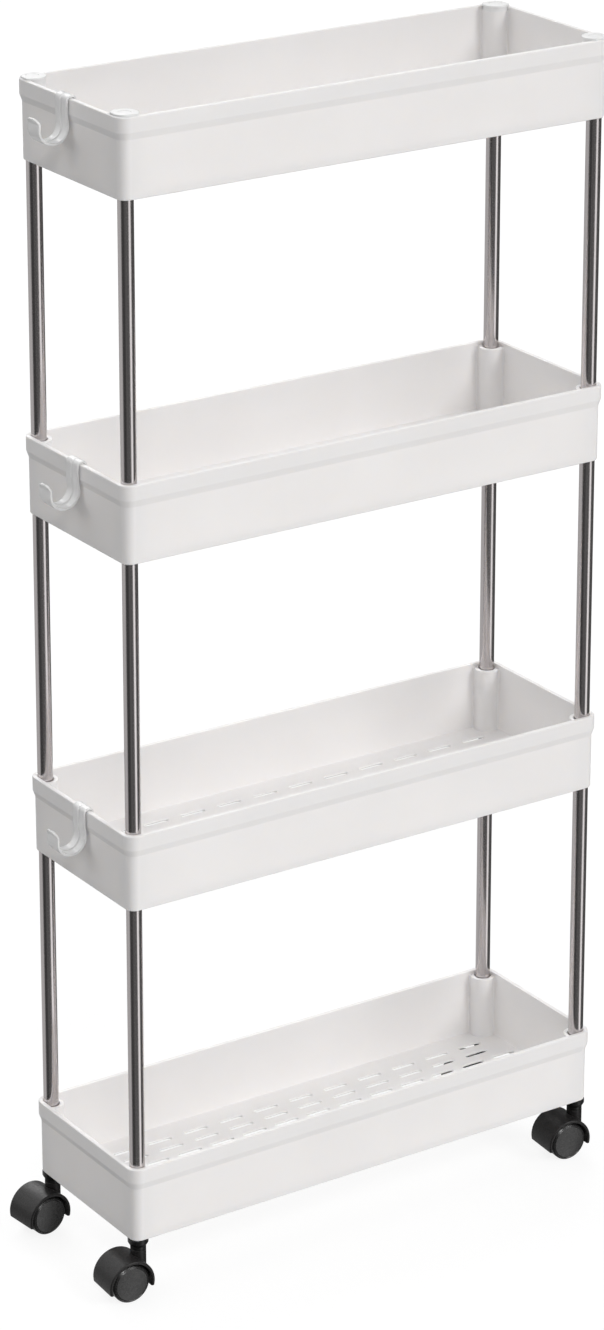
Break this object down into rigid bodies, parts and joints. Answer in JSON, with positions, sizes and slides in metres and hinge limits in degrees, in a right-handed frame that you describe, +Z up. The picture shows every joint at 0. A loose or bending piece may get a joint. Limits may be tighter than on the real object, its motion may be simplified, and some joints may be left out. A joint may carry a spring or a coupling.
{
  "type": "rolling utility cart",
  "caption": "Slim rolling storage cart: open slotted-floor plastic trays stacked on steel corner tubes, clip-on hooks at one end and swivelling twin-wheel casters under the corners.",
  "frame": {"origin": "on the floor, under the middle of the trays in plan", "axes": "+X along the trays' long side, with the hooks at the -X end; +Y across the trays, from the open front to the back; +Z up"},
  "size_m": [0.4249, 0.1459, 0.8583],
  "materials": {
    "tray_plastic": "fine matte moulded polypropylene, white",
    "cap_plastic": "smooth satin moulded plastic, white",
    "steel_tube": "polished stainless, faint lengthwise grain",
    "hook_plastic": "clear, slightly milky glossy plastic",
    "caster_socket_plastic": "black satin nylon",
    "caster_plastic": "black, finely textured moulded nylon",
    "wheel_plastic": "dark satin moulded nylon",
    "pin_steel": "zinc-plated steel pin"
  },
  "bodies": {
    "root": {"bottom_tray": "tray_plastic", "lower_middle_tray": "tray_plastic", "upper_middle_tray": "tray_plastic", "top_tray": "tray_plastic", "lower_tube_front_left": "steel_tube", "middle_tube_front_left": "steel_tube", "upper_tube_front_left": "steel_tube", "lower_tube_front_right": "steel_tube", "middle_tube_front_right": "steel_tube", "upper_tube_front_right": "steel_tube", "lower_tube_back_right": "steel_tube", "middle_tube_back_right": "steel_tube", "upper_tube_back_right": "steel_tube", "lower_tube_back_left": "steel_tube", "middle_tube_back_left": "steel_tube", "upper_tube_back_left": "steel_tube", "socket_cap_front_left": "cap_plastic", "socket_cap_front_right": "cap_plastic", "socket_cap_back_right": "cap_plastic", "socket_cap_back_left": "cap_plastic", "caster_socket_front_left": "caster_socket_plastic", "caster_socket_front_right": "caster_socket_plastic", "caster_socket_back_right": "caster_socket_plastic", "caster_socket_back_left": "caster_socket_plastic"},
    "caster_front_left": {"caster_stem_front_left": "pin_steel", "caster_hood_front_left": "caster_plastic", "caster_axle_front_left": "pin_steel"},
    "front_wheel_front_left": {"front_wheel_front_left": "wheel_plastic"},
    "back_wheel_front_left": {"back_wheel_front_left": "wheel_plastic"},
    "caster_front_right": {"caster_stem_front_right": "pin_steel", "caster_hood_front_right": "caster_plastic", "caster_axle_front_right": "pin_steel"},
    "front_wheel_front_right": {"front_wheel_front_right": "wheel_plastic"},
    "back_wheel_front_right": {"back_wheel_front_right": "wheel_plastic"},
    "caster_back_right": {"caster_stem_back_right": "pin_steel", "caster_hood_back_right": "caster_plastic", "caster_axle_back_right": "pin_steel"},
    "front_wheel_back_right": {"front_wheel_back_right": "wheel_plastic"},
    "back_wheel_back_right": {"back_wheel_back_right": "wheel_plastic"},
    "caster_back_left": {"caster_stem_back_left": "pin_steel", "caster_hood_back_left": "caster_plastic", "caster_axle_back_left": "pin_steel"},
    "front_wheel_back_left": {"front_wheel_back_left": "wheel_plastic"},
    "back_wheel_back_left": {"back_wheel_back_left": "wheel_plastic"},
    "lower_hook": {"lower_hook": "hook_plastic"},
    "middle_hook": {"middle_hook": "hook_plastic"},
    "upper_hook": {"upper_hook": "hook_plastic"}
  },
  "joints": [
    {"name": "caster_swivel_front_left", "type": "hinge", "parent": "root", "child": "caster_front_left", "pos_m": [-0.191, -0.059, 0.0346], "axis": [0, 0, 1], "continuous": true},
    {"name": "front_wheel_spin_front_left", "type": "hinge", "parent": "caster_front_left", "child": "front_wheel_front_left", "pos_m": [-0.20248, -0.05832, 0.01425], "axis": [0.0593, 0.9982, 0], "continuous": true},
    {"name": "back_wheel_spin_front_left", "type": "hinge", "parent": "caster_front_left", "child": "back_wheel_front_left", "pos_m": [-0.20248, -0.05832, 0.01425], "axis": [0.0593, 0.9982, 0], "continuous": true},
    {"name": "caster_swivel_front_right", "type": "hinge", "parent": "root", "child": "caster_front_right", "pos_m": [0.191, -0.059, 0.0346], "axis": [0, 0, 1], "continuous": true},
    {"name": "front_wheel_spin_front_right", "type": "hinge", "parent": "caster_front_right", "child": "front_wheel_front_right", "pos_m": [0.17953, -0.05814, 0.01425], "axis": [0.075, 0.9972, 0], "continuous": true},
    {"name": "back_wheel_spin_front_right", "type": "hinge", "parent": "caster_front_right", "child": "back_wheel_front_right", "pos_m": [0.17953, -0.05814, 0.01425], "axis": [0.075, 0.9972, 0], "continuous": true},
    {"name": "caster_swivel_back_right", "type": "hinge", "parent": "root", "child": "caster_back_right", "pos_m": [0.191, 0.059, 0.0346], "axis": [0, 0, 1], "continuous": true},
    {"name": "front_wheel_spin_back_right", "type": "hinge", "parent": "caster_back_right", "child": "front_wheel_back_right", "pos_m": [0.17951, 0.0586, 0.01425], "axis": [-0.0349, 0.9994, 0], "continuous": true},
    {"name": "back_wheel_spin_back_right", "type": "hinge", "parent": "caster_back_right", "child": "back_wheel_back_right", "pos_m": [0.17951, 0.0586, 0.01425], "axis": [-0.0349, 0.9994, 0], "continuous": true},
    {"name": "caster_swivel_back_left", "type": "hinge", "parent": "root", "child": "caster_back_left", "pos_m": [-0.191, 0.059, 0.0346], "axis": [0, 0, 1], "continuous": true},
    {"name": "front_wheel_spin_back_left", "type": "hinge", "parent": "caster_back_left", "child": "front_wheel_back_left", "pos_m": [-0.20245, 0.0579, 0.01425], "axis": [-0.0958, 0.9954, 0], "continuous": true},
    {"name": "back_wheel_spin_back_left", "type": "hinge", "parent": "caster_back_left", "child": "back_wheel_back_left", "pos_m": [-0.20245, 0.0579, 0.01425], "axis": [-0.0958, 0.9954, 0], "continuous": true},
    {"name": "lower_hook_slide", "type": "slide", "parent": "root", "child": "lower_hook", "axis": [0, 1, 0], "range_m": [-0.035, 0.045]},
    {"name": "middle_hook_slide", "type": "slide", "parent": "root", "child": "middle_hook", "axis": [0, 1, 0], "range_m": [-0.0367, 0.0433]},
    {"name": "upper_hook_slide", "type": "slide", "parent": "root", "child": "upper_hook", "axis": [0, 1, 0], "range_m": [-0.0434, 0.0366]}
  ]
}
